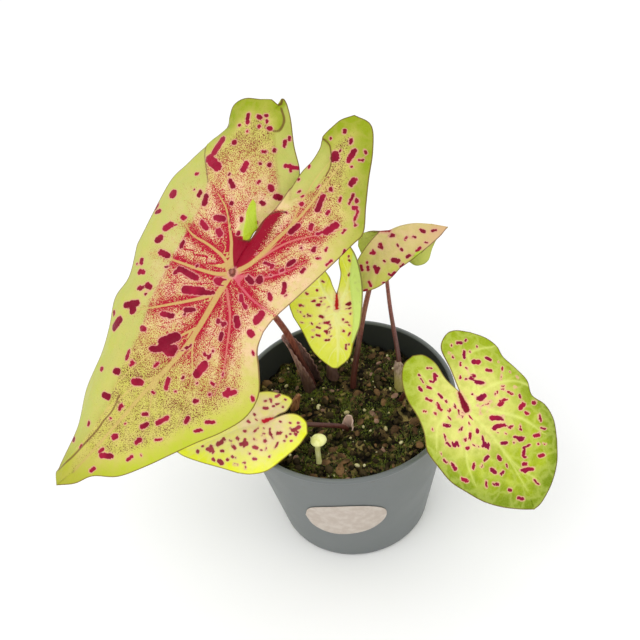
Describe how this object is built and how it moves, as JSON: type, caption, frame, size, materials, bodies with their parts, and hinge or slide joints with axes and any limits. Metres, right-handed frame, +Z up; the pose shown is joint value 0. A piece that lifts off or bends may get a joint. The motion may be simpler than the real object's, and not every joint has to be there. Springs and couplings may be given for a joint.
{
  "type": "potted caladium",
  "caption": "Potted aroid with waved, heart-shaped spotted leaves on slender arching stems that rise from a buried tuber in a tapered plastic pot.",
  "frame": {"origin": "centre of the pot's foot, on the surface that it stands on", "axes": "+Z up the pot's axis; -Y towards the viewer; +X to the viewer's right, so the largest leaf leans out towards -X and -Y"},
  "size_m": [0.2519, 0.1534, 0.2519],
  "materials": {
    "pot": "satin moulded grey plastic",
    "label": "uncoated off-white paper, blank",
    "soil": "damp dark potting mix of bark and peat",
    "tuber": "rough corky brown skin",
    "leaf": "soft satin leaf blade, yellow-green with crimson and maroon marks",
    "petiole": "smooth satin red-brown leaf stem",
    "sheath": "satin brown-red leaf base",
    "bud": "dry orange-brown shoot tip",
    "mushroom": "soft pale yellow cap and stalk"
  },
  "bodies": {
    "root": {"pot": "pot", "label": "label", "soil": "soil", "tuber": "tuber", "leaf_1": "leaf", "leaf_2": "leaf", "leaf_3": "leaf", "leaf_4": "leaf", "leaf_5": "leaf", "leaf_6": "leaf", "petiole_1": "petiole", "petiole_2": "petiole", "petiole_3": "petiole", "petiole_4": "petiole", "petiole_5": "petiole", "petiole_6": "petiole", "sheath_1": "sheath", "sheath_2": "sheath", "sheath_3": "sheath", "sheath_4": "sheath", "shoot_bud": "bud", "mushroom": "mushroom"}
  },
  "joints": []
}
